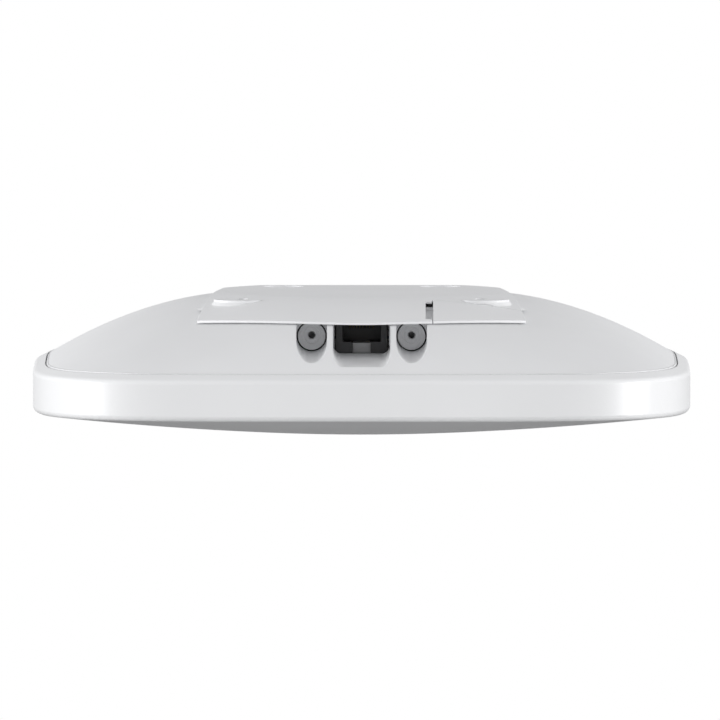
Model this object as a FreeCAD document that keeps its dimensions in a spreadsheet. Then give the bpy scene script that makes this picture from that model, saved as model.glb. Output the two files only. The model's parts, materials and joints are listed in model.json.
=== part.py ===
import FreeCAD, Part
import Sketcher
import math
import os
import re

# Ceiling access point, in millimetres.
#
# The origin is the centre of the face that touches the ceiling.  +Z points up to
# the ceiling, -Y is the side with the cable bay, and +X is to the right of it.
# The mount plate stays on the ceiling.  Everything else slides +Y off its hooks.

V = FreeCAD.Vector

SIZES = {
    # plan outline and outer levels
    "half_width": 102.5,
    "rim_exponent": 4.5,
    "seam_half_width": 98.4,
    "seam_level": -21.6,
    "seam_gap": 0.25,
    "band_top": -24.3,
    "band_bottom": -34.2,
    "band_round": 1.6,
    "face_half_width": 100.9,
    "face_level": -44.5,
    "face_power": 1.8,
    "crown_radius": 46,
    "crown_level": -1.3,
    "dome_lead": 0.2,
    "dome_power": 1.9,
    "wall": 2.2,
    # housing skirt and snap rib
    "skirt_half_width": 98.0,
    "skirt_wall": 2,
    "skirt_bottom": -31,
    "snap_level": -28.4,
    "snap_height": 1.6,
    "snap_reach": 1.4,
    # plate outline
    "lip_front": 72.4,
    "plate_front_half": 51.1,
    "plate_front_sag": 13.2,
    "plate_rear_half": 41.4,
    "plate_rear": 34,
    "plate_corner": 16,
    "skin_thickness": 0.8,
    "pad_half": 36,
    "pad_front": -30,
    "pad_rear": 33,
    "pad_thickness": 2.4,
    "pad_corner": 12,
    "boss_x": 37.5,
    "boss_y": -38.5,
    "boss_radius": 8.5,
    "boss_top": -0.9,
    "boss_flare": 5.5,
    "boss_flare_top": -1.6,
    "boss_flare_bend": -2.7,
    "boss_flare_foot": -4.1,
    "rear_hole_x": 24.6,
    "rear_hole_y": 26,
    "rear_recess_radius": 6.4,
    "rear_recess_depth": 0.9,
    "ceiling_hole_radius": 2.1,
    # slide travel, recess and hooks
    "travel": 12,
    "recess_half": 41,
    "recess_front": -50,
    "recess_rear": 33.5,
    "recess_corner": 12,
    "recess_height": 10,
    "recess_level": -2.9,
    "floor_thickness": 2,
    "hook_x": 28,
    "hook_width": 8,
    "hook_stem": 3,
    "hook_reach": 5,
    "hook_front": -20,
    "hook_rear": 12,
    "hook_gap": 0.3,
    "hook_toe": 2,
    # release latch
    "latch_left": 22.2,
    "latch_root": -47.4,
    "latch_gap": 0.35,
    "slit_width": 2.3,
    "slit_front": -68.6,
    "slit_rear": -49.4,
    "slit_depth": 1.4,
    "through_height": 30,
    "through_low": -25,
    "beyond": 60,
    # cable bay
    "bay_wall": -62,
    "bay_wall_thickness": 2,
    "bay_end": -108,
    "bay_half_width": 8.9,
    "bay_floor": -16.6,
    "bay_corner": 3.4,
    "bay_slope": 0.08,
    "lug_x": 15.5,
    "lug_level": -11.2,
    "lug_radius": 4.3,
    "lug_slot_radius": 4.75,
    "lug_slope": 0.068,
    "lug_hole_radius": 1.25,
    "lug_hole_depth": 9,
    "lug_ring_radius": 2.65,
    "lug_ring_depth": 0.7,
    "lug_length": 13,
    "lining_half": 22.4,
    "lining_bottom": -21,
    # chassis
    "chassis_half": 59,
    "chassis_front": -56,
    "chassis_rear": 55,
    "chassis_top": -10.4,
    "chassis_thickness": 2,
    "chassis_corner": 10,
    "jack_cutout_half": 9,
    "jack_cutout_rear": -38,
    "fin_height": 2.6,
    "fin_thickness": 1.4,
    "fin_pitch": 7,
    # board
    "board_half": 70,
    "board_front": -58,
    "board_rear": 68,
    "board_top": -17.7,
    "board_thickness": 1.6,
    "board_corner": 12,
    "post_x": 55,
    "post_front": -46,
    "post_rear": 50,
    "post_radius": 3.2,
    "screw_radius": 1.25,
    "screw_hole_radius": 1.45,
    "screw_head_radius": 2.4,
    "screw_head_height": 1.5,
    "housing_screw_x": 12,
    "housing_screw_y": 24,
    "housing_post_radius": 3.4,
    # network jack
    "jack_half_width": 8,
    "jack_face": -60.8,
    "jack_depth": 21,
    "jack_bottom": -17.7,
    "jack_top": -5.4,
    "mouth_half_width": 5.95,
    "mouth_depth": 14,
    "insert_reach": 2.5,
    "mouth_bottom": -13.1,
    "mouth_top": -6.4,
    "keyway_half_width": 2.9,
    "keyway_bottom": -16.6,
    "contact_pitch": 1.02,
    "contact_width": 0.45,
    # reset button
    "reset_x": -14,
    "reset_y": -32,
    "reset_radius": 1.6,
    "reset_flange_radius": 2.6,
    "reset_clearance": 0.2,
    "reset_travel": 0.6,
    "reset_tip": -14.6,
    # shields, chips and pads
    "shield_height": 3,
    "shield_wall": 0.3,
    "chip_height": 1,
    "gap_pad_thickness": 2.3,
    # antennas
    "antenna_x": 60,
    "antenna_height": 9,
    "antenna_length": 26,
    "antenna_strip": 5,
    "antenna_sheet": 0.4,
    # status light
    "light_y": -34,
    "light_radius": 1.5,
    "light_clearance": 0.15,
}

doc = FreeCAD.newDocument("ceiling_access_point")
sheet = doc.addObject("Spreadsheet::Sheet", "dims")


def fill_sheet():
    for row, (alias, value) in enumerate(SIZES.items(), start=1):
        sheet.set("A%d" % row, alias)
        sheet.set("B%d" % row, repr(value))
        sheet.setAlias("B%d" % row, alias)
    doc.recompute()


def size(alias):
    """One driving dimension, read from the sheet."""
    return float(getattr(sheet, alias))


def bound(expression):
    """The expression with each alias pointing at the sheet."""
    text = str(expression)
    return re.sub(r"[a-z][a-z_]*[a-z]", lambda found: "dims." + found.group(0), text)


def bind(item, name, expression):
    item.setExpression(name, bound(expression))


def place(item, x=0, y=0, z=0):
    bind(item, "Placement.Base.x", x)
    bind(item, "Placement.Base.y", y)
    bind(item, "Placement.Base.z", z)
    return item


def box(name, length, width, height, x, y, z):
    """A box from its lowest corner."""
    item = doc.addObject("Part::Box", name)
    bind(item, "Length", length)
    bind(item, "Width", width)
    bind(item, "Height", height)
    return place(item, x, y, z)


def cylinder(name, radius, height, x, y, z, axis=None):
    """A cylinder from its base centre, along +Z or along the axis given."""
    item = doc.addObject("Part::Cylinder", name)
    bind(item, "Radius", radius)
    bind(item, "Height", height)
    if axis is not None:
        item.Placement.Rotation = FreeCAD.Rotation(V(0, 0, 1), axis)
    return place(item, x, y, z)


def fuse(name, items):
    item = doc.addObject("Part::MultiFuse", name)
    item.Shapes = items
    item.Refine = True
    return item


def cut(name, base, tools):
    tool = tools[0]
    if len(tools) > 1:
        tool = fuse(name + "_tools", tools)
    item = doc.addObject("Part::Cut", name)
    item.Base = base
    item.Tool = tool
    return item


def common(name, first, second):
    item = doc.addObject("Part::Common", name)
    item.Base = first
    item.Tool = second
    return item


def group(name, items):
    """Separate solids that share one node."""
    item = doc.addObject("Part::Compound", name)
    item.Links = items
    return item


def plain_solid(name, shape):
    item = doc.addObject("Part::Feature", name)
    item.Shape = shape
    return item


def mirrored_pairs():
    """The four quadrants, as a name and the signs of X and Y."""
    return [("front_left", -1, -1), ("front_right", 1, -1), ("rear_left", -1, 1), ("rear_right", 1, 1)]


# ---------------------------------------------------------------- curved shells


def squircle(half_width, exponent, level):
    """A closed superellipse: a circle at exponent 2, squarer above it."""
    points = []
    steps = 48
    for step in range(steps):
        angle = 2 * math.pi * step / steps
        reach = abs(math.cos(angle)) ** exponent + abs(math.sin(angle)) ** exponent
        radius = half_width / reach ** (1 / exponent)
        points.append(V(radius * math.cos(angle), radius * math.sin(angle), level))
    curve = Part.BSplineCurve()
    curve.interpolate(Points=points, PeriodicFlag=True)
    return Part.Wire(curve.toShape())


def squircle_prism(half_width, bottom, top):
    face = Part.Face(squircle(half_width, size("rim_exponent"), bottom))
    return face.extrude(V(0, 0, top - bottom))


def loft(sections):
    return Part.makeLoft([squircle(*section) for section in sections], True, False)


def dome_section(share, lift, inset):
    """Half width, exponent and level of the dome at a share of its run.

    The dome is lifted straight up by lift, and moved in along its normal by inset.
    """
    run = size("seam_half_width") - size("crown_radius")
    drop = size("crown_level") - size("seam_level")
    power = size("dome_power")
    lead = size("dome_lead")
    half_width = size("crown_radius") + run * share
    level = size("crown_level") - drop * (lead * share + (1 - lead) * share ** power)
    slope = drop * (lead + (1 - lead) * power * share ** (power - 1)) / run
    length = math.hypot(1, slope)
    exponent = 2 + (size("rim_exponent") - 2) * share ** 2.2
    return half_width - inset * slope / length, exponent, level + lift - inset / length


def share_at_level(level):
    """How far along its run the dome comes down to a level, by halving."""
    low = 0.0
    high = 1.0
    while high - low > 1e-6:
        middle = (low + high) / 2
        if dome_section(middle, 0, 0)[2] > level:
            low = middle
        else:
            high = middle
    return low


def dome_solid(lift, inset, first_share, last_share):
    steps = 12
    shares = [first_share + (last_share - first_share) * step / steps for step in range(steps + 1)]
    return loft([dome_section(share, lift, inset) for share in shares])


def housing_outer():
    """The dome with its skirt and the rib that the front cover snaps over."""
    skirt = squircle_prism(size("skirt_half_width"), size("skirt_bottom"), size("seam_level") + 0.5)
    rib_low = size("snap_level") - size("snap_height")
    rib = squircle_prism(size("skirt_half_width") + size("snap_reach"), rib_low, size("snap_level"))
    return dome_solid(0, 0, 0, 1).fuse([skirt, rib])


def housing_cavity():
    """The room inside: the dome moved in by the wall, over the skirt's inside."""
    first_share = share_at_level(size("recess_level") - size("floor_thickness") + size("wall"))
    inner_half = size("skirt_half_width") - size("skirt_wall")
    run = size("seam_half_width") - size("crown_radius")
    last_share = (inner_half + 1 - size("crown_radius")) / run
    upper = dome_solid(0, size("wall"), first_share, last_share)
    top = upper.BoundBox.ZMin + 0.4
    lower = squircle_prism(inner_half, size("skirt_bottom") - 1, top)
    return upper.fuse(lower)


def cover_profile():
    """The band's section from its seam down to the crease, as half width and level."""
    edge = size("seam_half_width") + size("seam_gap")
    top = size("seam_level") + 0.2
    return edge, top, size("half_width")


def cover_outer():
    """The band, the sloping ring above it and the domed face below it."""
    edge, top, rim = cover_profile()
    soft = size("band_round")
    squareness = size("rim_exponent")
    band_top = size("band_top")
    band_bottom = size("band_bottom")
    band = squircle_prism(rim, band_bottom, band_top)
    shoulder = [(rim, squareness, band_top)]
    for angle in (25, 50, 70):
        turn = math.radians(angle)
        shoulder.append((rim - soft * (1 - math.cos(turn)), squareness, band_top + soft * math.sin(turn)))
    ring = loft(shoulder)
    crest = shoulder[-1]
    slope = Part.makeLoft([squircle(*crest), squircle(edge, squareness, top)], True, True)
    heel = [(rim, squareness, band_bottom)]
    for angle in (25, 50, 75):
        turn = math.radians(angle)
        heel.append((rim - soft * (1 - math.cos(turn)), squareness, band_bottom - soft * math.sin(turn)))
    lower_round = loft(heel)
    last = heel[-1]
    face = loft(face_sections(last[0], last[2], size("face_level")))
    return band.fuse([ring, slope, lower_round, face])


def face_sections(half_width, rim_level, centre_level):
    """Sections of the shallow domed face, squarer towards its rim."""
    sections = []
    steps = 10
    for step in range(steps, 0, -1):
        share = step / steps
        level = centre_level + (rim_level - centre_level) * share ** size("face_power")
        exponent = 2 + (size("rim_exponent") - 2) * share ** 2
        sections.append((half_width * share, exponent, level))
    tip = 0.03
    sections.append((half_width * tip, 2, centre_level))
    return sections


def cover_cavity():
    """The inside of the front cover, open at the seam."""
    edge, top, rim = cover_profile()
    wall = size("wall")
    inner = rim - wall
    floor_level = size("band_bottom")
    bowl = loft(face_sections(inner, floor_level, size("face_level") + wall))
    sides = squircle_prism(inner, floor_level - 0.2, size("band_top") - 0.6)
    mouth = squircle_prism(edge, size("band_top") - 1, top + 2)
    return bowl.fuse([sides, mouth])


def snap_blocks():
    """Eight short blocks inside the band that rest on the housing's rib."""
    inner = size("half_width") - size("wall")
    reach = size("snap_reach")
    ring_low = size("snap_level") + 0.2
    ring_high = ring_low + size("snap_height")
    ring = squircle_prism(inner + 0.3, ring_low, ring_high)
    ring = ring.cut(squircle_prism(inner - reach, ring_low - 1, ring_high + 1))
    blocks = []
    block_length = 12
    for turn in range(4):
        for offset in (-36, 36):
            block = Part.makeBox(block_length, 30, 10, V(offset - block_length / 2, 85, ring_low - 2))
            block.rotate(V(0, 0, 0), V(0, 0, 1), 90 * turn)
            blocks.append(ring.common(block))
    return blocks


def plate_outline():
    """The tongue: a shallow arc in front, two sides that close in, and a rounded rear."""
    front = size("lip_front")
    half = size("plate_front_half")
    front_y = size("plate_front_sag") - front
    rear_half = size("plate_rear_half")
    rear = size("plate_rear")
    arc = Part.Arc(V(-half, front_y, 0), V(0, -front, 0), V(half, front_y, 0)).toShape()
    right = Part.LineSegment(V(half, front_y, 0), V(rear_half, rear, 0)).toShape()
    back = Part.LineSegment(V(rear_half, rear, 0), V(-rear_half, rear, 0)).toShape()
    left = Part.LineSegment(V(-rear_half, rear, 0), V(-half, front_y, 0)).toShape()
    prism = Part.Face(Part.Wire([arc, right, back, left])).extrude(V(0, 0, 30))
    prism.translate(V(0, 0, -25))
    corners = []
    for edge in prism.Edges:
        middle = edge.BoundBox.Center
        upright = edge.BoundBox.ZLength > 20
        if upright and middle.y > 0:
            corners.append(edge)
    return prism.makeFillet(size("plate_corner"), corners)


def plate_skin():
    """The thin shell over the dome, cut to the tongue's outline."""
    raise_by = -size("crown_level")
    upper = dome_solid(raise_by, 0, 0, 0.8).common(plate_outline())
    lower = dome_solid(raise_by - size("skin_thickness"), 0, 0, 0.9)
    return upper.cut(lower)


def bay_channel(half_width, corner, floor_level, slope, x):
    """A round-cornered channel from the bay wall outwards, its floor falling away."""
    top = 4
    start = size("bay_wall")
    length = start - size("bay_end")
    left = V(x - half_width, start, top)
    right = V(x + half_width, start, top)
    left_low = V(x - half_width, start, floor_level + corner)
    right_low = V(x + half_width, start, floor_level + corner)
    diagonal = corner * (1 - math.sqrt(0.5))
    edges = [Part.LineSegment(left, left_low).toShape()]
    left_mid = V(x - half_width + diagonal, start, floor_level + diagonal)
    left_end = V(x - half_width + corner, start, floor_level)
    edges.append(Part.Arc(left_low, left_mid, left_end).toShape())
    right_mid = V(x + half_width - diagonal, start, floor_level + diagonal)
    right_end = V(x + half_width - corner, start, floor_level)
    if half_width - corner > 0.01:
        edges.append(Part.LineSegment(left_end, right_end).toShape())
    edges.append(Part.Arc(right_end, right_mid, right_low).toShape())
    edges.append(Part.LineSegment(right_low, right).toShape())
    edges.append(Part.LineSegment(right, left).toShape())
    face = Part.Face(Part.Wire(edges))
    return face.extrude(V(0, -length, -length * slope))


# ---------------------------------------------------------------- sketched pieces


def origin_plane(body, role):
    for feature in body.Origin.OriginFeatures:
        if feature.Role == role:
            return feature
    raise ValueError("no plane " + role)


def new_sketch(body, name, role="XY_Plane"):
    sketch = body.newObject("Sketcher::SketchObject", name)
    sketch.AttachmentSupport = [(origin_plane(body, role), "")]
    sketch.MapMode = "FlatFace"
    return sketch


def value_of(expression):
    return float(sheet.evalExpression(bound(expression)))


def pin_point(sketch, line, end, x, y):
    """Tie one end of a line, or a circle's centre, to two expressions."""
    for kind, expression in (("DistanceX", x), ("DistanceY", y)):
        constraint = Sketcher.Constraint(kind, -1, 1, line, end, value_of(expression))
        index = sketch.addConstraint(constraint)
        sketch.setExpression("Constraints[%d]" % index, bound(expression))


def add_profile(sketch, corners):
    """A closed run of lines whose corners are pairs of expressions."""
    places = [V(value_of(x), value_of(y), 0) for x, y in corners]
    first = None
    lines = []
    for index, start in enumerate(places):
        end = places[(index + 1) % len(places)]
        lines.append(sketch.addGeometry(Part.LineSegment(start, end)))
    for index, line in enumerate(lines):
        following = lines[(index + 1) % len(lines)]
        sketch.addConstraint(Sketcher.Constraint("Coincident", line, 2, following, 1))
    for line, (x, y) in zip(lines, corners):
        pin_point(sketch, line, 1, x, y)


def add_circle(sketch, radius, x, y):
    centre = V(value_of(x), value_of(y), 0)
    circle = sketch.addGeometry(Part.Circle(centre, V(0, 0, 1), value_of(radius)))
    pin_point(sketch, circle, 3, x, y)
    index = sketch.addConstraint(Sketcher.Constraint("Radius", circle, value_of(radius)))
    sketch.setExpression("Constraints[%d]" % index, bound(radius))


def padded(body, name, sketch, length, reverse=False):
    pad = body.newObject("PartDesign::Pad", name)
    pad.Profile = sketch
    bind(pad, "Length", length)
    pad.Reversed = reverse
    sketch.Visibility = False
    return pad


def turned_body(name, corners, x=0, y=0, z=0):
    """A body turned about its own Z from a half profile of radius and level pairs."""
    body = doc.addObject("PartDesign::Body", name)
    sketch = new_sketch(body, name + "_profile", "XZ_Plane")
    add_profile(sketch, corners)
    turn = body.newObject("PartDesign::Revolution", name + "_turn")
    turn.Profile = sketch
    turn.ReferenceAxis = (sketch, ["V_Axis"])
    turn.Angle = 360
    return place(body, x, y, z)


def plate_body(name, outline, holes, thickness, level, corner):
    """A flat body with its top at a level, rounded outer corners and round holes."""
    body = doc.addObject("PartDesign::Body", name)
    sketch = new_sketch(body, name + "_outline")
    add_profile(sketch, outline)
    pad = padded(body, name + "_pad", sketch, thickness, reverse=True)
    doc.recompute()
    far = max(abs(vertex.X) for vertex in pad.Shape.Vertexes)
    names = []
    for index, edge in enumerate(pad.Shape.Edges, start=1):
        upright = edge.BoundBox.ZLength > 0.5 * pad.Shape.BoundBox.ZLength
        if upright and abs(edge.BoundBox.Center.x) > far - 0.01:
            names.append("Edge%d" % index)
    rounded = body.newObject("PartDesign::Fillet", name + "_corners")
    rounded.Base = (pad, names)
    bind(rounded, "Radius", corner)
    doc.recompute()
    drill = new_sketch(body, name + "_holes")
    for radius, x, y in holes:
        add_circle(drill, radius, x, y)
    pocket = body.newObject("PartDesign::Pocket", name + "_drilled")
    pocket.Profile = drill
    pocket.Type = "ThroughAll"
    pocket.Midplane = True
    return place(body, 0, 0, level)


def upright_screw(name, head_up, x, y, seat, length):
    """A pan-head screw whose head rests on its seat, pointing down if head_up."""
    sign = "" if head_up else "-"
    turn = "-" if head_up else ""
    corners = [
        ("0", turn + length),
        ("screw_radius", turn + length),
        ("screw_radius", "0"),
        ("screw_head_radius", "0"),
        ("screw_head_radius", sign + "screw_head_height"),
        ("0", sign + "screw_head_height"),
    ]
    return turned_body(name, corners, x, y, seat)


# ---------------------------------------------------------------- pieces


def flared_boss(name, x):
    """A round boss whose wall sweeps out into a foot in two steps."""
    tiers = [
        ("upper", "boss_radius + boss_flare / 5", "boss_radius", "boss_flare_bend", "boss_flare_top"),
        ("lower", "boss_radius + boss_flare", "boss_radius + boss_flare / 5", "boss_flare_foot", "boss_flare_bend"),
    ]
    core_height = "boss_top - boss_flare_foot"
    parts = [cylinder(name + "_core", "boss_radius", core_height, x, "boss_y", "boss_flare_foot")]
    for tier, foot_radius, top_radius, foot, top in tiers:
        cone = doc.addObject("Part::Cone", name + "_" + tier)
        bind(cone, "Radius1", foot_radius)
        bind(cone, "Radius2", top_radius)
        bind(cone, "Height", top + " - " + foot)
        parts.append(place(cone, x, "boss_y", foot))
    return fuse(name + "_whole", parts)


def tongue_block(name, kind, level, height):
    """A block square in front and round-cornered behind, sized by the values of its kind."""
    half = kind + "_half"
    front = kind + "_front"
    rear = kind + "_rear"
    corner = kind + "_corner"
    length = "%s - %s" % (rear, front)
    inner_half = "(%s - %s)" % (half, corner)
    parts = [
        box(name + "_wide", "2 * " + half, "%s - %s" % (length, corner), height, "-" + half, front, level),
        box(name + "_long", "2 * " + inner_half, length, height, "-" + inner_half, front, level),
    ]
    for side, sign in (("left", "-"), ("right", "")):
        parts.append(cylinder(name + "_" + side, corner, height, sign + inner_half, "%s - %s" % (rear, corner), level))
    return fuse(name, parts)


def raised_skin(owner):
    """The shell over the dome with its two round bosses, each on a flared foot."""
    parts = [plain_solid(owner + "_skin", plate_skin())]
    below = dome_solid(-size("crown_level") - size("skin_thickness"), 0, 0, 0.9)
    underside = plain_solid(owner + "_underside", below)
    for side, sign in (("left", "-"), ("right", "")):
        name = owner + "_boss_" + side
        parts.append(cut(name, flared_boss(name, sign + "boss_x"), [underside]))
    return fuse(owner + "_form", parts)


def make_mount_plate():
    """The ceiling bracket: raised skin, pad, hooks, slit and latch opening."""
    latch_room = box("latch_room", "beyond", "beyond", "through_height",
                     "latch_left - latch_gap", "latch_root + latch_gap - beyond", "through_low")
    slit = box("latch_slit", "slit_width", "slit_rear - slit_front", "through_height",
               "latch_left - slit_width", "slit_front", "through_low")
    parts = [cut("plate_skin_open", raised_skin("plate"), [latch_room, slit])]
    pad_height = "pad_thickness - skin_thickness / 2"
    parts.append(tongue_block("plate_pad", "pad", "-pad_thickness", pad_height))
    for corner, across, along in mirrored_pairs():
        parts += plate_hook(corner, across, along)
    whole = fuse("plate_whole", parts)
    holes = []
    for side, sign in (("left", "-"), ("right", "")):
        radius = "ceiling_hole_radius"
        holes.append(cylinder("boss_hole_" + side, radius, "20", sign + "boss_x", "boss_y", "-15"))
        holes.append(cylinder("rear_hole_" + side, radius, "20", sign + "rear_hole_x", "rear_hole_y", "-15"))
        recess = "rear_recess_radius"
        level = "-rear_recess_depth"
        holes.append(cylinder("rear_recess_" + side, recess, "3", sign + "rear_hole_x", "rear_hole_y", level))
    return cut("mount_plate", whole, holes)


def plate_hook(corner, across, along):
    """An L-shaped hook under the plate whose toe points +Y."""
    centre = "%d * hook_x" % across
    left = centre + " - hook_width / 2"
    start = "hook_rear" if along > 0 else "hook_front"
    toe_top = "recess_level - floor_thickness - hook_gap"
    toe_low = toe_top + " - hook_toe"
    stem_height = "-pad_thickness + 0.5 - (" + toe_low + ")"
    stem = box("hook_stem_" + corner, "hook_width", "hook_stem", stem_height, left, start, toe_low)
    toe_length = "hook_stem + hook_reach"
    toe = box("hook_toe_" + corner, "hook_width", toe_length, "hook_toe", left, start, toe_low)
    return [stem, toe]


def make_release_latch():
    """The spring tab in the plate's front right corner."""
    area = box("latch_area", "beyond", "beyond", "through_height",
               "latch_left", "latch_root - beyond", "through_low")
    return common("release_latch", raised_skin("latch"), area)


def make_rear_housing():
    """The domed back with the plate's recess, hook windows and the cable bay."""
    form = plain_solid("housing_form", housing_outer())
    room = plain_solid("housing_room", housing_cavity())
    lining = box("bay_lining", "2 * lining_half", "60", "40", "-lining_half",
                 "bay_wall + bay_wall_thickness - 60", "lining_bottom")
    room = cut("housing_room_clear", room, [lining])
    shell = cut("housing_shell", form, [room])
    parts = [shell]
    post_height = "recess_level - floor_thickness / 2 - chassis_top"
    for corner, across, along in mirrored_pairs():
        x = "%d * housing_screw_x" % across
        y = "%d * housing_screw_y" % along
        parts.append(cylinder("screw_post_" + corner, "housing_post_radius", post_height, x, y, "chassis_top"))
    whole = fuse("housing_whole", parts)
    tools = [tongue_block("plate_recess", "recess", "recess_level", "recess_height")]
    for corner, across, along in mirrored_pairs():
        tools.append(hook_window(corner, across, along))
        tools += screw_seat(corner, across, along)
    tools += bay_cutters()
    tools.append(latch_pocket())
    reset_hole = "reset_radius + reset_clearance"
    tools.append(cylinder("reset_hole", reset_hole, "20", "reset_x", "reset_y", "recess_level - 10"))
    return cut("rear_housing", whole, tools)


def latch_pocket():
    """A shallow groove in the dome below the plate's slit."""
    groove = box("latch_pocket_area", "slit_width", "slit_rear - slit_front", "through_height",
                 "latch_left - slit_width", "slit_front", "through_low")
    kept = plain_solid("latch_pocket_floor", dome_solid(-size("slit_depth"), 0, 0, 0.95))
    return cut("latch_pocket", groove, [kept])


def hook_window(corner, across, along):
    """The opening that one hook enters, long enough for the whole slide."""
    start = "hook_rear" if along > 0 else "hook_front"
    length = "travel + hook_stem + 2 * hook_gap"
    left = "%d * hook_x - hook_width / 2 - hook_gap" % across
    width = "hook_width + 2 * hook_gap"
    return box("hook_window_" + corner, width, length, "14", left, start + " - travel - hook_gap", "-12")


def screw_seat(corner, across, along):
    x = "%d * housing_screw_x" % across
    y = "%d * housing_screw_y" % along
    hole = cylinder("screw_hole_" + corner, "screw_hole_radius", "30", x, y, "-25")
    seat_radius = "screw_head_radius + 0.2"
    seat = cylinder("screw_seat_" + corner, seat_radius, "6", x, y, "recess_level - screw_head_height - 0.1")
    return [hole, seat]


def bay_cutters():
    """The cable channel, the two lug channels and the holes in the wall behind them."""
    half = size("bay_half_width")
    centre = bay_channel(half, size("bay_corner"), size("bay_floor"), size("bay_slope"), 0)
    tools = [plain_solid("cable_channel", centre)]
    port_width = "2 * bay_half_width - 0.8"
    port_height = "jack_top + 0.4 - bay_floor"
    tools.append(box("port_window", port_width, "14", port_height, "-bay_half_width + 0.4", "bay_wall - 2", "bay_floor"))
    jack_room = box("jack_room", "2 * jack_half_width + 0.4", "6", "3", "-jack_half_width - 0.2",
                    "jack_face - 0.2", "jack_bottom - 0.2")
    tools.append(jack_room)
    for side, sign in (("left", -1), ("right", 1)):
        radius = size("lug_slot_radius")
        floor_level = size("lug_level") - radius
        channel = bay_channel(radius, radius, floor_level, size("lug_slope"), sign * size("lug_x"))
        tools.append(plain_solid("lug_channel_" + side, channel))
        x = "%d * lug_x" % sign
        tools.append(cylinder("lug_window_" + side, "lug_slot_radius", "12", x, "bay_wall + 8", "lug_level", V(0, -1, 0)))
    return tools


def make_front_cover():
    """The band and the domed face, with snap blocks and the status light's guide."""
    form = plain_solid("cover_form", cover_outer())
    room = plain_solid("cover_room", cover_cavity())
    shell = cut("cover_shell", form, [room])
    parts = [shell]
    for index, block in enumerate(snap_blocks(), start=1):
        parts.append(plain_solid("snap_block_%d" % index, block))
    guide = cylinder("light_guide", "light_radius + 1.6", "9", "0", "light_y", "face_level + wall")
    parts.append(guide)
    whole = fuse("cover_whole", parts)
    hole_radius = "light_radius + light_clearance"
    hole = cylinder("light_hole", hole_radius, "30", "0", "light_y", "face_level - 5")
    return cut("front_cover", whole, [hole])


def make_light_pipe():
    """A clear rod from the board's light to the face, cut flush with the face."""
    top = "board_top - board_thickness - 1.2"
    middle = "band_top"
    upper = cylinder("light_rod_upper", "light_radius", top + " - " + middle, "0", "light_y", middle)
    lower = cylinder("light_rod_lower", "light_radius", "25", "0", "light_y", middle + " - 25")
    form = plain_solid("light_trim", cover_outer())
    flush = common("light_rod_flush", lower, form)
    return fuse("light_pipe", [upper, flush])


def make_metal_chassis():
    """The die-cast frame: plate, posts, fins and the two threaded lugs."""
    plate = plate_body(
        "chassis_plate",
        [
            ("-chassis_half", "chassis_front"),
            ("-jack_cutout_half", "chassis_front"),
            ("-jack_cutout_half", "jack_cutout_rear"),
            ("jack_cutout_half", "jack_cutout_rear"),
            ("jack_cutout_half", "chassis_front"),
            ("chassis_half", "chassis_front"),
            ("chassis_half", "chassis_rear"),
            ("-chassis_half", "chassis_rear"),
        ],
        [("reset_radius + 0.7", "reset_x", "reset_y")],
        "chassis_thickness",
        "chassis_top",
        "chassis_corner",
    )
    parts = [plate]
    post_top = "chassis_top - chassis_thickness / 2"
    for corner, across, along in mirrored_pairs():
        x = "%d * post_x" % across
        y = "post_rear" if along > 0 else "post_front"
        parts.append(cylinder("board_post_" + corner, "post_radius", post_top + " - board_top", x, y, "board_top"))
    fin_start = 36
    for side, sign in (("left", -1), ("right", 1)):
        for index in range(3):
            x = "%d * (%d + %d * fin_pitch) - fin_thickness / 2" % (sign, fin_start, index)
            fin_height = "fin_height + 0.5"
            name = "fin_%s_%d" % (side, index + 1)
            parts.append(box(name, "fin_thickness", "72", fin_height, x, "-36", "chassis_top - 0.5"))
        x = "%d * lug_x" % sign
        parts.append(cylinder("lug_" + side, "lug_radius", "lug_length", x, "bay_wall + lug_length",
                              "lug_level", V(0, -1, 0)))
    whole = fuse("chassis_whole", parts)
    tools = []
    for side, sign in (("left", -1), ("right", 1)):
        x = "%d * lug_x" % sign
        level = "lug_level + 0.3"
        tools.append(cylinder("lug_ring_" + side, "lug_ring_radius", "lug_ring_depth + 1", x,
                              "bay_wall + lug_ring_depth", level, V(0, -1, 0)))
        tools.append(cylinder("lug_hole_" + side, "lug_hole_radius", "lug_hole_depth + 1", x,
                              "bay_wall + lug_hole_depth", level, V(0, -1, 0)))
    for corner, across, along in mirrored_pairs():
        x = "%d * housing_screw_x" % across
        y = "%d * housing_screw_y" % along
        tools.append(cylinder("chassis_hole_" + corner, "screw_radius + 0.05", "8", x, y, "chassis_top - 5"))
        x = "%d * post_x" % across
        y = "post_rear" if along > 0 else "post_front"
        tools.append(cylinder("post_hole_" + corner, "screw_radius + 0.05", "6", x, y, "board_top - 1"))
    return cut("metal_chassis", whole, tools)


def make_main_board():
    holes = []
    for corner, across, along in mirrored_pairs():
        y = "post_rear" if along > 0 else "post_front"
        holes.append(("screw_hole_radius", "%d * post_x" % across, y))
    outline = [
        ("-board_half", "board_front"),
        ("board_half", "board_front"),
        ("board_half", "board_rear"),
        ("-board_half", "board_rear"),
    ]
    return plate_body("main_board", outline, holes, "board_thickness", "board_top", "board_corner")


def make_jack_housing():
    """The network jack's moulded body, its mouth towards -Y with the keyway below."""
    depth = "mouth_depth"
    block = box("jack_block", "2 * jack_half_width", "jack_depth", "jack_top - jack_bottom",
                "-jack_half_width", "jack_face", "jack_bottom")
    mouth = box("jack_mouth", "2 * mouth_half_width", depth + " + 1", "mouth_top - mouth_bottom",
                "-mouth_half_width", "jack_face - 1", "mouth_bottom")
    keyway = box("jack_keyway", "2 * keyway_half_width", depth + " + 1", "mouth_bottom - keyway_bottom + 1",
                 "-keyway_half_width", "jack_face - 1", "keyway_bottom")
    return cut("jack_housing", block, [mouth, keyway])


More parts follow.
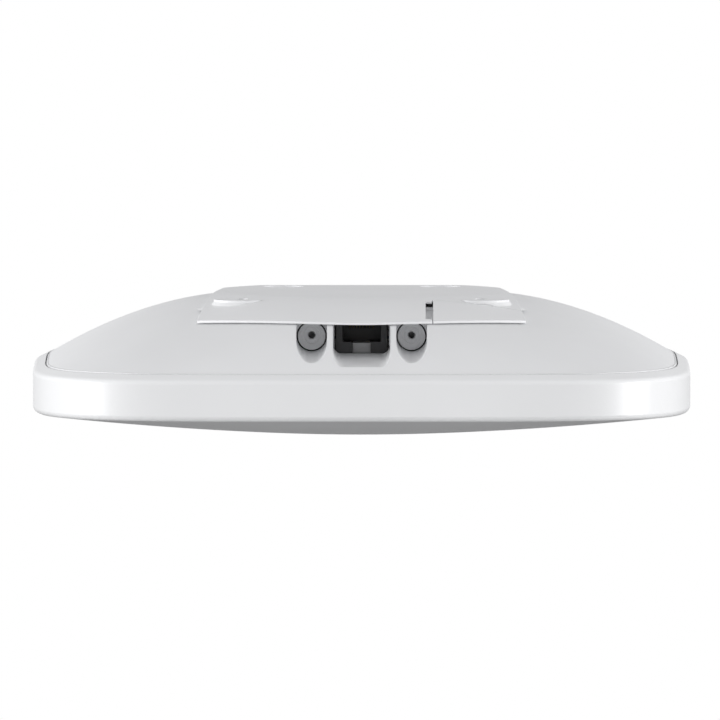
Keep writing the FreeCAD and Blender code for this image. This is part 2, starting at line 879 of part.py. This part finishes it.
def make_jack_insert():
    """The light insert that lines the keyway and shows as a grey tab in the mouth."""
    return box("jack_insert", "2 * keyway_half_width - 0.2", "mouth_depth - insert_reach",
               "mouth_bottom - keyway_bottom - 0.4", "-keyway_half_width + 0.1",
               "jack_face + insert_reach", "keyway_bottom")


def make_jack_contacts():
    """Eight sprung wires that slope down from the roof of the mouth."""
    wires = []
    for index in range(8):
        wire = doc.addObject("Part::Box", "jack_contact_%d" % (index + 1))
        bind(wire, "Length", "contact_width")
        bind(wire, "Width", "8")
        bind(wire, "Height", "0.3")
        wire.Placement.Rotation = FreeCAD.Rotation(V(1, 0, 0), -18)
        offset = "%r * contact_pitch - contact_width / 2" % (index - 3.5)
        place(wire, offset, "jack_face + 4", "mouth_top - 0.5")
        wires.append(wire)
    return group("jack_contacts", wires)


def block_on_board(name, length, width, height, x, y, above=True):
    """A plain moulded component centred at x, y on either face of the board."""
    level = "board_top" if above else "board_top - board_thickness - (%s)" % height
    return box(name, length, width, height, "%s - (%s) / 2" % (x, length), "%s - (%s) / 2" % (y, width), level)


def make_shield(name, length, width, x, y):
    """A pressed can, open towards the board."""
    outer = block_on_board(name + "_outer", length, width, "shield_height", x, y)
    inner_length = length + " - 2 * shield_wall"
    inner_width = width + " - 2 * shield_wall"
    height = "shield_height - shield_wall"
    inner = block_on_board(name + "_inner", inner_length, inner_width, height, x, y)
    return cut(name, outer, [inner])


def make_gap_pads():
    pads = []
    for name, length, x in (("centre", "26", "0"), ("left", "20", "-37"), ("right", "20", "37")):
        level = "board_top + shield_height"
        pads.append(box("gap_pad_" + name, length, "20", "gap_pad_thickness", "%s - %s / 2" % (x, length), "-8", level))
    return group("thermal_pads", pads)


def make_chips():
    chips = []
    for name, edge, x in (("left", "9", "-37"), ("right", "9", "37")):
        chips.append(block_on_board("radio_chip_" + name, edge, edge, "chip_height", x, "2"))
    return group("radio_chips", chips)


def make_capacitors():
    cans = []
    for index in range(4):
        x = "%d" % (-33 + 9 * index)
        cans.append(cylinder("capacitor_%d" % (index + 1), "2.5", "4.6", x, "40", "board_top"))
    return group("capacitors", cans)


def make_inductors():
    coils = []
    for index in range(3):
        x = "%d" % (14 + 10 * index)
        coils.append(block_on_board("inductor_%d" % (index + 1), "6", "6", "3", x, "40"))
    return group("power_inductors", coils)


def make_antenna(corner, across, along):
    """A bent sheet-metal antenna that hangs under the board's edge."""
    x = "%d * antenna_x" % across
    y = 24 if along > 0 else -20
    low = "board_top - board_thickness - antenna_height"
    start = "%d - antenna_length / 2" % y
    wall = box("antenna_wall_" + corner, "antenna_sheet", "antenna_length", "antenna_height", x, start, low)
    strip_x = x if across < 0 else x + " - antenna_strip + antenna_sheet"
    strip = box("antenna_strip_" + corner, "antenna_strip", "antenna_length", "antenna_sheet", strip_x, start, low)
    whole = fuse("antenna_whole_" + corner, [wall, strip])
    slot_length = "antenna_length - 8"
    slot = box("antenna_slot_" + corner, "4", slot_length, "antenna_height - 3", x + " - 2",
               start + " + 6", low + " + 2")
    return cut("antenna_" + corner, whole, [slot])


def make_reset_button():
    """A plunger with a flange that stops it under the housing floor."""
    flange_top = "recess_level - floor_thickness - reset_clearance / 2"
    corners = [
        ("0", "reset_tip"),
        ("reset_radius", "reset_tip"),
        ("reset_radius", flange_top + " - 1"),
        ("reset_flange_radius", flange_top + " - 1"),
        ("reset_flange_radius", flange_top),
        ("reset_radius", flange_top),
        ("reset_radius", "recess_level"),
        ("0", "recess_level"),
    ]
    return turned_body("reset_button", corners, "reset_x", "reset_y", "0")


def make_screws(name, head_up, seat, length, x, front, rear):
    screws = []
    for corner, across, along in mirrored_pairs():
        y = rear if along > 0 else front
        screws.append(upright_screw(name + "_" + corner, head_up, "%d * %s" % (across, x), y, seat, length))
    return group(name, screws)


def make_all():
    """Every node of the object, by name."""
    nodes = {
        "mount_plate": make_mount_plate(),
        "release_latch": make_release_latch(),
        "rear_housing": make_rear_housing(),
        "front_cover": make_front_cover(),
        "light_pipe": make_light_pipe(),
        "metal_chassis": make_metal_chassis(),
        "main_board": make_main_board(),
        "jack_housing": make_jack_housing(),
        "jack_insert": make_jack_insert(),
        "jack_contacts": make_jack_contacts(),
        "isolation_transformer": block_on_board("isolation_transformer", "14", "9", "4.6", "0", "-32.5"),
        "processor_shield": make_shield("processor_shield", "32", "28", "0", "2"),
        "radio_shield_left": make_shield("radio_shield_left", "26", "30", "-37", "2"),
        "radio_shield_right": make_shield("radio_shield_right", "26", "30", "37", "2"),
        "processor_chip": block_on_board("processor_chip", "15", "15", "1.4", "0", "2"),
        "radio_chips": make_chips(),
        "memory_chip": block_on_board("memory_chip", "10", "12", "1.2", "0", "30"),
        "thermal_pads": make_gap_pads(),
        "capacitors": make_capacitors(),
        "power_inductors": make_inductors(),
        "status_light": block_on_board("status_light", "2", "1.6", "0.8", "0", "light_y", above=False),
        "reset_button": make_reset_button(),
        "reset_switch": block_on_board("reset_switch", "6", "6", "2.2", "reset_x", "reset_y"),
    }
    for corner, across, along in mirrored_pairs():
        nodes["antenna_" + corner] = make_antenna(corner, across, along)
    housing_length = "8.8"
    nodes["housing_screws"] = make_screws("housing_screws", True, "recess_level - screw_head_height - 0.1",
                                          housing_length, "housing_screw_x", "-housing_screw_y", "housing_screw_y")
    nodes["board_screws"] = make_screws("board_screws", False, "board_top - board_thickness", "5",
                                        "post_x", "post_front", "post_rear")
    return nodes


def check_state(nodes):
    """Stop if anything failed to build."""
    for item in doc.Objects:
        for state in ("Invalid", "Error"):
            if state in item.State:
                raise RuntimeError("%s is %s" % (item.Name, item.State))
    for name, item in nodes.items():
        if item.Shape.isNull() or not item.Shape.isValid():
            raise RuntimeError(name + " has no valid shape")


def export(nodes):
    os.makedirs("parts", exist_ok=True)
    for name, item in nodes.items():
        item.Label = name
        item.Shape.exportStep("parts/%s.step" % name)
        bounds = item.Shape.BoundBox
        print("%-24s %2d solids %9.0f mm3  z %.2f to %.2f"
              % (name, len(item.Shape.Solids), item.Shape.Volume, bounds.ZMin, bounds.ZMax))


fill_sheet()
all_nodes = make_all()
doc.recompute()
check_state(all_nodes)
export(all_nodes)
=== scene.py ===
"""Ceiling access point: finishes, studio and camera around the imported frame, in metres."""

import json
import math

import bmesh
import bpy
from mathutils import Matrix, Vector


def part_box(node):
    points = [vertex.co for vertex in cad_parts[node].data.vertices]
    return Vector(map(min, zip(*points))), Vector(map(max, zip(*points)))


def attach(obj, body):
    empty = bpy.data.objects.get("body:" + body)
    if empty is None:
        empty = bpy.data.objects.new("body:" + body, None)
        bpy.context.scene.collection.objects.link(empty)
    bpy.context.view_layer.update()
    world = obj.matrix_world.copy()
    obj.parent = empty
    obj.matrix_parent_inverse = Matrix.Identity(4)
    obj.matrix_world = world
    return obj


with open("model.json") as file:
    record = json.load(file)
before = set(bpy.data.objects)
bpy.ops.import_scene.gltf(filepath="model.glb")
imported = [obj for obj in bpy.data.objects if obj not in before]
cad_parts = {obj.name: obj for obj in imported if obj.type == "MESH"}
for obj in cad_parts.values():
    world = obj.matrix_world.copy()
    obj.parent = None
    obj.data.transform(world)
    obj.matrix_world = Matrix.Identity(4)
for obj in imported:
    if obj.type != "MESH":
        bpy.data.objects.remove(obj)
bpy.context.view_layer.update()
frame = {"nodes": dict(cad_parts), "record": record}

MM = 0.001

# ---------------------------------------------------------------- node helpers


def new_material(name):
    """A new material, its node tree and its shader."""
    material = bpy.data.materials.new(name)
    material.use_nodes = True
    tree = material.node_tree
    shader = tree.nodes["Principled BSDF"]
    return material, tree, shader


def add_node(tree, kind, **values):
    node = tree.nodes.new(kind)
    for key, value in values.items():
        setattr(node, key, value)
    return node


def object_place(tree):
    return add_node(tree, "ShaderNodeTexCoord").outputs["Object"]


def noise(tree, place, size, detail=3.0, roughness=0.55):
    """Noise whose features are about `size` metres across."""
    node = add_node(tree, "ShaderNodeTexNoise")
    node.inputs["Scale"].default_value = 1.0 / size
    node.inputs["Detail"].default_value = detail
    node.inputs["Roughness"].default_value = roughness
    tree.links.new(place, node.inputs["Vector"])
    return node.outputs["Fac"]


def remap(tree, value, low, high, from_low=0.3, from_high=0.7):
    node = add_node(tree, "ShaderNodeMapRange")
    node.inputs["From Min"].default_value = from_low
    node.inputs["From Max"].default_value = from_high
    node.inputs["To Min"].default_value = low
    node.inputs["To Max"].default_value = high
    tree.links.new(value, node.inputs["Value"])
    return node.outputs["Result"]


def arithmetic(tree, operation, first, second):
    node = add_node(tree, "ShaderNodeMath", operation=operation)
    for socket, value in zip(node.inputs, (first, second)):
        if isinstance(value, (int, float)):
            socket.default_value = value
        else:
            tree.links.new(value, socket)
    return node.outputs[0]


def mix_colour(tree, share, first, second):
    node = add_node(tree, "ShaderNodeMix", data_type="RGBA")
    if isinstance(share, (int, float)):
        node.inputs["Factor"].default_value = share
    else:
        tree.links.new(share, node.inputs["Factor"])
    for socket, value in zip((node.inputs[6], node.inputs[7]), (first, second)):
        if isinstance(value, tuple):
            socket.default_value = (*value, 1.0)
        else:
            tree.links.new(value, socket)
    return node.outputs[2]


def edge_share(tree, radius):
    """0 on flat faces rising to 1 at corners sharper than the radius, and the rounded normal."""
    bevel = add_node(tree, "ShaderNodeBevel", samples=6)
    bevel.inputs["Radius"].default_value = radius
    geometry = add_node(tree, "ShaderNodeNewGeometry")
    product = add_node(tree, "ShaderNodeVectorMath", operation="DOT_PRODUCT")
    tree.links.new(bevel.outputs["Normal"], product.inputs[0])
    tree.links.new(geometry.outputs["Normal"], product.inputs[1])
    share = remap(tree, product.outputs["Value"], 1.0, 0.0, from_low=0.8, from_high=0.99)
    return share, bevel.outputs["Normal"]


def scaled(colour, factor):
    return tuple(min(1.0, part * factor) for part in colour)


def moulded(name, colour, gloss, grain, depth, soft_edge, coat=0.0, drift=0.03):
    """Moulded plastic: fine spark-eroded grain, slow tone drift and paler rubbed edges."""
    material, tree, shader = new_material(name)
    place = object_place(tree)
    fine = noise(tree, place, grain, detail=4.0)
    broad = noise(tree, place, size=0.03, detail=2.0)
    edge, soft_normal = edge_share(tree, soft_edge)
    tone = mix_colour(tree, remap(tree, broad, 0.0, 1.0), scaled(colour, 1 - drift), colour)
    tone = mix_colour(tree, remap(tree, fine, 0.0, 0.35), tone, scaled(colour, 1 + drift / 2))
    worn = mix_colour(tree, arithmetic(tree, "MULTIPLY", edge, 0.5), tone, scaled(colour, 1.05))
    tree.links.new(worn, shader.inputs["Base Color"])
    rough = remap(tree, fine, gloss - 0.05, gloss + 0.06)
    rubbed = arithmetic(tree, "SUBTRACT", rough, arithmetic(tree, "MULTIPLY", edge, 0.08))
    tree.links.new(rubbed, shader.inputs["Roughness"])
    bump = add_node(tree, "ShaderNodeBump")
    bump.inputs["Strength"].default_value = 0.35
    bump.inputs["Distance"].default_value = depth
    tree.links.new(fine, bump.inputs["Height"])
    tree.links.new(soft_normal, bump.inputs["Normal"])
    tree.links.new(bump.outputs["Normal"], shader.inputs["Normal"])
    shader.inputs["Coat Weight"].default_value = coat
    shader.inputs["Coat Roughness"].default_value = 0.22
    shader.inputs["IOR"].default_value = 1.5
    return material


def metallic(name, colour, gloss, grain, depth, stretch=(1, 1, 1), soft_edge=0.3 * MM, metal=1.0):
    """Cast or drawn metal: grain squeezed along each axis by stretch, blotches, bright edges."""
    material, tree, shader = new_material(name)
    place = object_place(tree)
    mapping = add_node(tree, "ShaderNodeMapping")
    mapping.inputs["Scale"].default_value = stretch
    tree.links.new(place, mapping.inputs["Vector"])
    fine = noise(tree, mapping.outputs["Vector"], grain, detail=5.0)
    broad = noise(tree, place, size=0.012, detail=3.0)
    edge, soft_normal = edge_share(tree, soft_edge)
    tone = mix_colour(tree, remap(tree, broad, 0.0, 1.0), scaled(colour, 0.9), colour)
    tone = mix_colour(tree, remap(tree, fine, 0.0, 0.4), tone, scaled(colour, 0.8))
    worn = mix_colour(tree, edge, tone, scaled(colour, 1.2))
    tree.links.new(worn, shader.inputs["Base Color"])
    rough = remap(tree, fine, gloss - 0.06, gloss + 0.1)
    tree.links.new(rough, shader.inputs["Roughness"])
    bump = add_node(tree, "ShaderNodeBump")
    bump.inputs["Strength"].default_value = 0.4
    bump.inputs["Distance"].default_value = depth
    tree.links.new(fine, bump.inputs["Height"])
    tree.links.new(soft_normal, bump.inputs["Normal"])
    tree.links.new(bump.outputs["Normal"], shader.inputs["Normal"])
    shader.inputs["Metallic"].default_value = metal
    return material


def board_mask():
    """Green solder mask over copper: paler tracks on a square grid show through it."""
    material, tree, shader = new_material("board_mask")
    place = object_place(tree)
    tracks = add_node(tree, "ShaderNodeTexBrick", offset=0.37, squash=1.6, squash_frequency=3)
    tracks.inputs["Scale"].default_value = 1.0
    tracks.inputs["Brick Width"].default_value = 5.2 * MM
    tracks.inputs["Row Height"].default_value = 1.3 * MM
    tracks.inputs["Mortar Size"].default_value = 0.14 * MM
    tracks.inputs["Mortar Smooth"].default_value = 0.1
    tree.links.new(place, tracks.inputs["Vector"])
    patches = noise(tree, place, size=0.014, detail=1.0)
    region = remap(tree, patches, 0.0, 1.0, from_low=0.47, from_high=0.53)
    share = arithmetic(tree, "MULTIPLY", tracks.outputs["Fac"], region)
    broad = noise(tree, place, size=0.02, detail=2.0)
    mask = mix_colour(tree, remap(tree, broad, 0.0, 1.0), (0.012, 0.09, 0.035), (0.018, 0.12, 0.05))
    tone = mix_colour(tree, share, mask, (0.05, 0.26, 0.11))
    tree.links.new(tone, shader.inputs["Base Color"])
    weave = noise(tree, place, size=0.5 * MM, detail=3.0)
    tree.links.new(remap(tree, weave, 0.28, 0.42), shader.inputs["Roughness"])
    bump = add_node(tree, "ShaderNodeBump")
    bump.inputs["Strength"].default_value = 0.3
    bump.inputs["Distance"].default_value = 0.03 * MM
    tree.links.new(arithmetic(tree, "ADD", share, weave), bump.inputs["Height"])
    tree.links.new(bump.outputs["Normal"], shader.inputs["Normal"])
    return material


def clear_rod():
    """Clear moulded rod with faint flow streaks."""
    material, tree, shader = new_material("clear_rod")
    place = object_place(tree)
    streak = noise(tree, place, size=0.8 * MM, detail=2.0)
    tone = mix_colour(tree, remap(tree, streak, 0.0, 1.0), (0.88, 0.91, 0.95), (0.95, 0.97, 1.0))
    tree.links.new(tone, shader.inputs["Base Color"])
    tree.links.new(remap(tree, streak, 0.06, 0.2), shader.inputs["Roughness"])
    shader.inputs["Transmission Weight"].default_value = 0.85
    shader.inputs["IOR"].default_value = 1.49
    return material


def studio_paper(name, shade):
    material, tree, shader = new_material(name)
    grain = noise(tree, object_place(tree), size=0.05, detail=2.0)
    tone = mix_colour(tree, remap(tree, grain, 0.0, 1.0), scaled(shade, 0.985), shade)
    tree.links.new(tone, shader.inputs["Base Color"])
    shader.inputs["Roughness"].default_value = 0.9
    shader.inputs["Specular IOR Level"].default_value = 0.1
    return material


# ---------------------------------------------------------------- finishes

SHELL_WHITE = (0.84, 0.846, 0.856)
COVER_WHITE = (0.87, 0.876, 0.885)

finishes = {
    "white_plastic": moulded(
        "shell_plastic", SHELL_WHITE,
        gloss=0.48, grain=0.35 * MM, depth=0.012 * MM, soft_edge=0.35 * MM,
    ),
    "cover_plastic": moulded(
        "cover_plastic_satin", COVER_WHITE,
        gloss=0.34, grain=0.5 * MM, depth=0.006 * MM, soft_edge=0.3 * MM, coat=0.12, drift=0.02,
    ),
    "chassis_metal": metallic(
        "cast_alloy", (0.86, 0.865, 0.875),
        gloss=0.55, grain=0.5 * MM, depth=0.02 * MM, metal=0.1,
    ),
    "board_green": board_mask(),
    "black_plastic": moulded(
        "black_nylon", (0.04, 0.04, 0.042),
        gloss=0.5, grain=0.3 * MM, depth=0.02 * MM, soft_edge=0.2 * MM, drift=0.2,
    ),
    "grey_plastic": moulded(
        "grey_nylon", (0.5, 0.5, 0.505),
        gloss=0.45, grain=0.3 * MM, depth=0.015 * MM, soft_edge=0.2 * MM, drift=0.1,
    ),
    "tin_plate": metallic(
        "tinned_sheet", (0.72, 0.72, 0.7),
        gloss=0.28, grain=0.4 * MM, depth=0.01 * MM, stretch=(1, 12, 1), soft_edge=0.2 * MM,
    ),
    "contact_gold": metallic(
        "plated_contact", (0.85, 0.62, 0.25),
        gloss=0.22, grain=0.2 * MM, depth=0.005 * MM, stretch=(1, 8, 1), soft_edge=0.1 * MM,
    ),
    "pad_rubber": moulded(
        "silicone_pad", (0.3, 0.36, 0.44),
        gloss=0.75, grain=0.5 * MM, depth=0.04 * MM, soft_edge=0.3 * MM, drift=0.12,
    ),
    "clear_plastic": clear_rod(),
    "screw_steel": metallic(
        "zinc_plate", (0.6, 0.6, 0.61),
        gloss=0.3, grain=0.3 * MM, depth=0.01 * MM, stretch=(1, 1, 10), soft_edge=0.15 * MM,
    ),
}

for node in frame["nodes"].values():
    for slot in node.material_slots:
        slot.material = finishes[slot.material.name.split(".")[0]]

# ---------------------------------------------------------------- tapped holes

thread_pitch = 0.5 * MM
thread_turns = 12
thread_wire = 0.14 * MM
thread_start = 1.2 * MM
steps_per_turn = 24
thread_sides = 6


def make_thread(name, mouth, radius):
    """The crests of the thread in one tapped hole, as a helix running in along +Y."""
    mesh = bpy.data.meshes.new(name)
    shape = bmesh.new()
    rings = []
    for step in range(thread_turns * steps_per_turn + 1):
        angle = 2 * math.pi * step / steps_per_turn
        depth = thread_pitch * step / steps_per_turn
        out = Vector((math.cos(angle), 0.0, math.sin(angle)))
        ring = []
        for side in range(thread_sides):
            tilt = 2 * math.pi * side / thread_sides
            reach = radius - thread_wire * (1 - math.cos(tilt))
            along = Vector((0.0, depth + thread_wire * math.sin(tilt), 0.0))
            ring.append(shape.verts.new(Vector(mouth) + out * reach + along))
        rings.append(ring)
    for first, second in zip(rings, rings[1:]):
        for side in range(thread_sides):
            after = (side + 1) % thread_sides
            shape.faces.new((first[side], first[after], second[after], second[side]))
    shape.faces.new(rings[0])
    shape.faces.new(list(reversed(rings[-1])))
    bmesh.ops.recalc_face_normals(shape, faces=shape.faces)
    for face in shape.faces:
        face.smooth = True
    shape.to_mesh(mesh)
    shape.free()
    thread = bpy.data.objects.new(name, mesh)
    bpy.context.scene.collection.objects.link(thread)
    thread.data.materials.append(finishes["screw_steel"])
    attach(thread, "unit")


lug_mount = next(mount for mount in frame["record"]["mounts"] if mount["name"] == "lug_screws")
lug_centre = lug_mount["pos_m"]
half_spacing = 0.5 * lug_mount["dims"]["spacing_x_mm"] * MM
hole_radius = lug_mount["dims"]["hole_r_mm"] * MM
lug_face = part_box("metal_chassis")[0][1]
for side, sign in (("left", -1), ("right", 1)):
    mouth = (sign * half_spacing, lug_face + thread_start, lug_centre[2])
    make_thread("lug_thread_" + side, mouth, hole_radius)

# ---------------------------------------------------------------- studio

floor_level = -1.4
floor_radius = 1.6
floor_sides = 64


def make_floor():
    """A round sheet of pale paper well below the part."""
    mesh = bpy.data.meshes.new("studio_floor")
    shape = bmesh.new()
    corners = []
    for turn in range(floor_sides):
        angle = 2 * math.pi * turn / floor_sides
        place = (floor_radius * math.cos(angle), floor_radius * math.sin(angle), floor_level)
        corners.append(shape.verts.new(place))
    shape.faces.new(corners)
    shape.to_mesh(mesh)
    shape.free()
    floor = bpy.data.objects.new("studio_floor", mesh)
    bpy.context.scene.collection.objects.link(floor)
    floor.data.materials.append(studio_paper("pale_paper", (0.55, 0.55, 0.55)))


def make_softbox(name, place, aim, across, power):
    light = bpy.data.lights.new(name, "AREA")
    light.shape = "DISK"
    light.size = across
    light.energy = power
    softbox = bpy.data.objects.new(name, light)
    softbox.location = place
    direction = Vector(aim) - Vector(place)
    softbox.rotation_euler = direction.to_track_quat("-Z", "Y").to_euler()
    bpy.context.scene.collection.objects.link(softbox)


def make_world():
    """White backdrop; its light is strongest near the horizon and weak from below."""
    world = bpy.data.worlds.new("studio_air")
    bpy.context.scene.world = world
    world.use_nodes = True
    tree = world.node_tree
    tree.nodes.clear()
    output = add_node(tree, "ShaderNodeOutputWorld")
    place = add_node(tree, "ShaderNodeTexCoord").outputs["Generated"]
    split = add_node(tree, "ShaderNodeSeparateXYZ")
    tree.links.new(place, split.inputs["Vector"])
    height = remap(tree, split.outputs["Z"], 0.0, 1.0, from_low=-1.0, from_high=1.0)
    ramp = add_node(tree, "ShaderNodeValToRGB")
    # Pairs of place on the ramp, from straight down to straight up, and brightness.
    levels = ((0.0, 0.02), (0.4, 0.08), (0.5, 0.6), (0.6, 0.68), (1.0, 0.47))
    while len(ramp.color_ramp.elements) < len(levels):
        ramp.color_ramp.elements.new(0.5)
    for element, (position, level) in zip(ramp.color_ramp.elements, levels):
        element.position = position
        element.color = (level, level, level * 1.01, 1.0)
    tree.links.new(height, ramp.inputs["Fac"])
    lighting = add_node(tree, "ShaderNodeBackground")
    tree.links.new(ramp.outputs["Color"], lighting.inputs["Color"])
    backdrop = add_node(tree, "ShaderNodeBackground")
    backdrop.inputs["Color"].default_value = (1.0, 1.0, 1.0, 1.0)
    seen = add_node(tree, "ShaderNodeLightPath").outputs["Is Camera Ray"]
    blend = add_node(tree, "ShaderNodeMixShader")
    tree.links.new(seen, blend.inputs["Fac"])
    tree.links.new(lighting.outputs["Background"], blend.inputs[1])
    tree.links.new(backdrop.outputs["Background"], blend.inputs[2])
    tree.links.new(blend.outputs["Shader"], output.inputs["Surface"])


make_floor()
make_world()
object_middle = (0, 0, -0.02)
make_softbox("left_softbox", (-1.9, -0.55, 0.15), object_middle, across=1.1, power=29.0)
make_softbox("right_softbox", (1.9, -0.55, 0.15), object_middle, across=1.1, power=26.0)
make_softbox("front_softbox", (0, -2.2, -0.55), object_middle, across=0.8, power=4.5)

scene = bpy.context.scene
scene.view_settings.view_transform = "Standard"
scene.view_settings.look = "None"

# ---------------------------------------------------------------- camera

sensor = 36.0
distance = 10.0
frame_width = 0.225
elevation = math.radians(2.93)
aim = Vector((-0.0005, 0.0, -0.0218))

camera_data = bpy.data.cameras.new("camera")
camera_data.sensor_width = sensor
camera_data.lens = sensor * distance / frame_width
camera_data.clip_end = 100.0
camera = bpy.data.objects.new("camera", camera_data)
camera.location = aim + distance * Vector((0.0, -math.cos(elevation), math.sin(elevation)))
camera.rotation_euler = (aim - camera.location).to_track_quat("-Z", "Y").to_euler()
scene.collection.objects.link(camera)
scene.camera = camera
